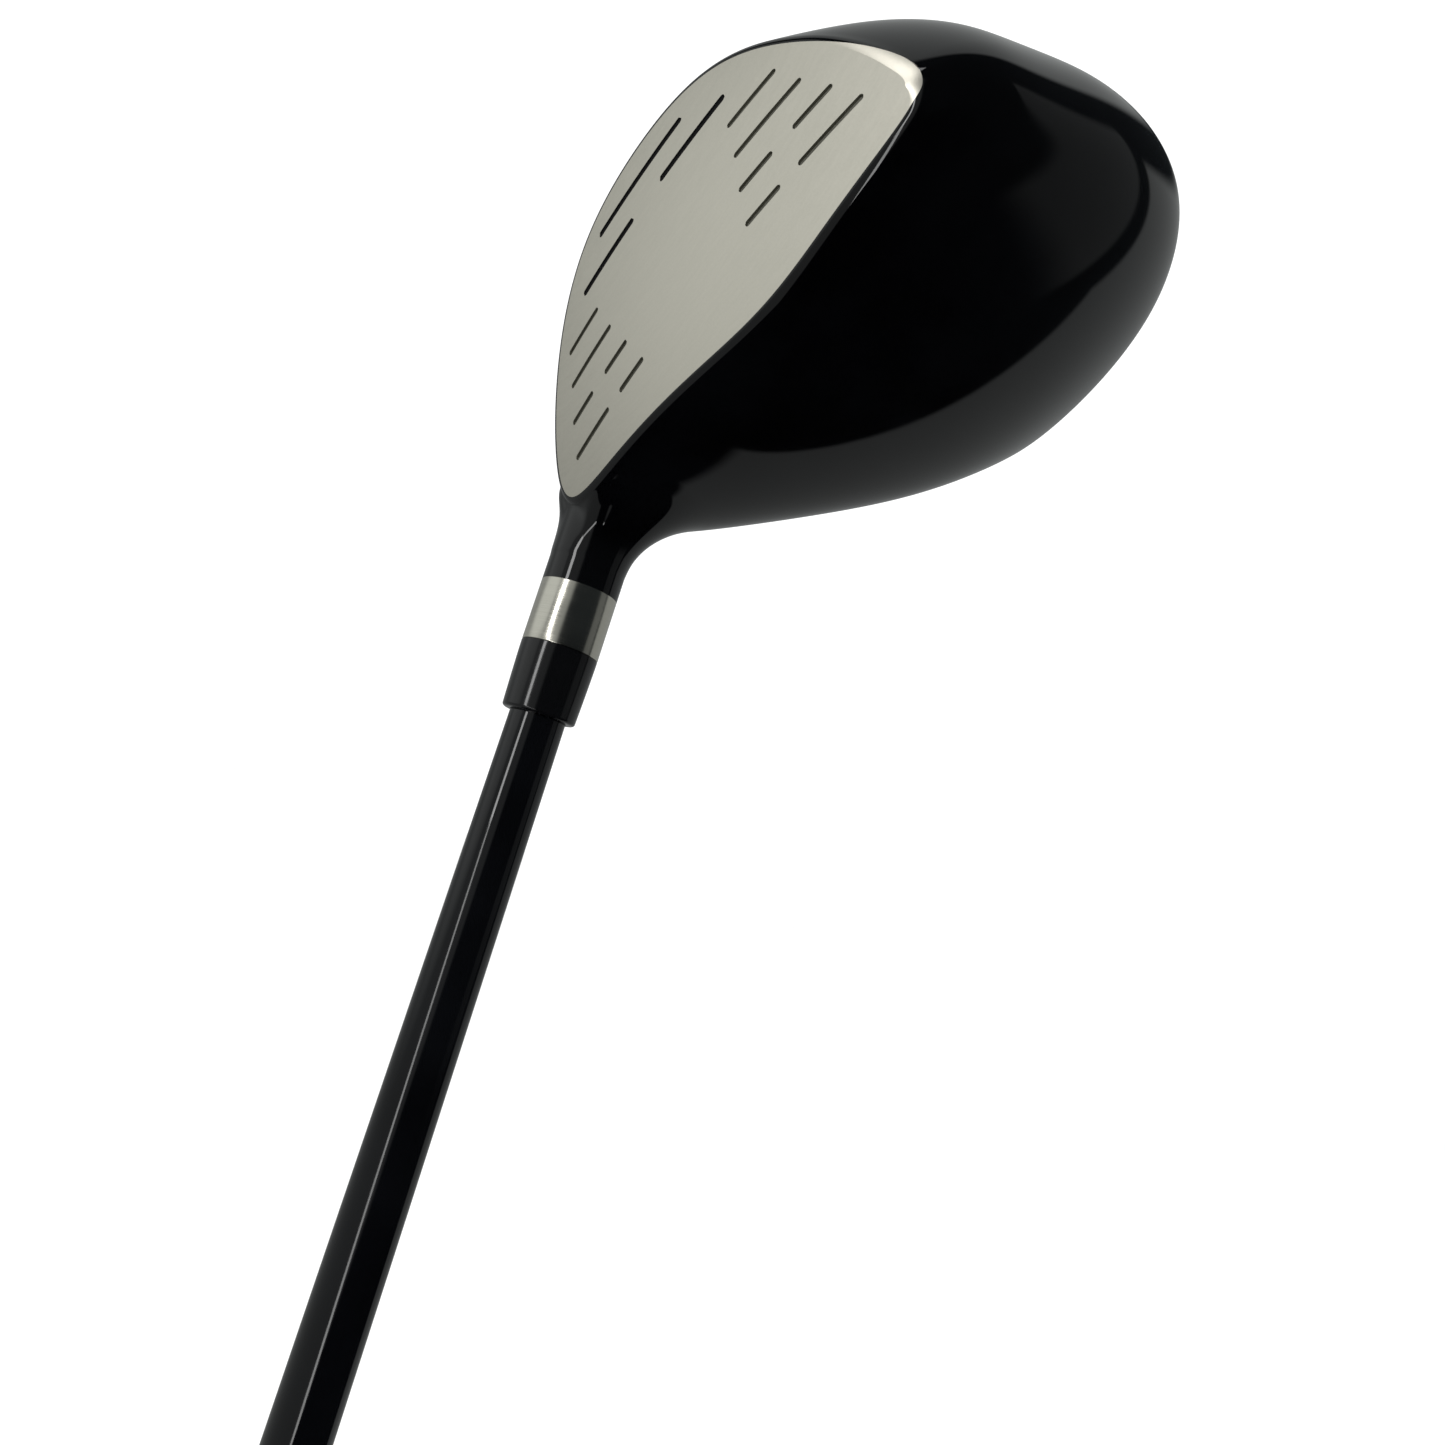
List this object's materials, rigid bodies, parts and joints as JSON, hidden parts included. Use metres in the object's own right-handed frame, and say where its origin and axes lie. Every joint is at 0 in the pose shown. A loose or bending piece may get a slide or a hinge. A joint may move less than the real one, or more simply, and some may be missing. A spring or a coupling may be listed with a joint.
{
  "type": "golf driver",
  "caption": "Right-handed golf driver: deep rounded gloss-black head with a satin metal face of short grooves, bare hosel band, ferrule, black tapered shaft and rubber grip.",
  "frame": {"origin": "centre of the grip's flat butt end", "axes": "+Z along the shaft from the butt to the head, -Y the way the face points, +X towards the toe"},
  "size_m": [0.09, 0.0971, 1.1727],
  "materials": {
    "face_metal": "satin, fine brushed",
    "groove_paint": "matt black paint fill",
    "head_paint": "high gloss black lacquer",
    "hosel_steel": "turned and polished",
    "bare_steel": "as cast",
    "glue": "translucent amber glue",
    "ferrule_plastic": "polished black",
    "shaft_paint": "clear-coated black composite",
    "pin_brass": "turned",
    "tape": "crepe paper tape",
    "grip_rubber": "matt moulded rubber"
  },
  "bodies": {
    "root": {"face_plate": "face_metal", "groove_paint_fill": "groove_paint", "crown_shell": "head_paint", "skirt_and_neck_shell": "head_paint", "sole_plate": "head_paint", "sole_ribs": "bare_steel", "rear_weight_slug": "bare_steel", "hot_melt_pad": "glue", "hosel_tube": "hosel_steel", "hosel_bottom_plug": "bare_steel", "epoxy_bond": "glue", "ferrule": "ferrule_plastic", "shaft": "shaft_paint", "swing_weight_pin": "pin_brass", "grip_tape": "tape", "grip_sleeve": "grip_rubber", "grip_end_cap": "grip_rubber"}
  },
  "joints": []
}
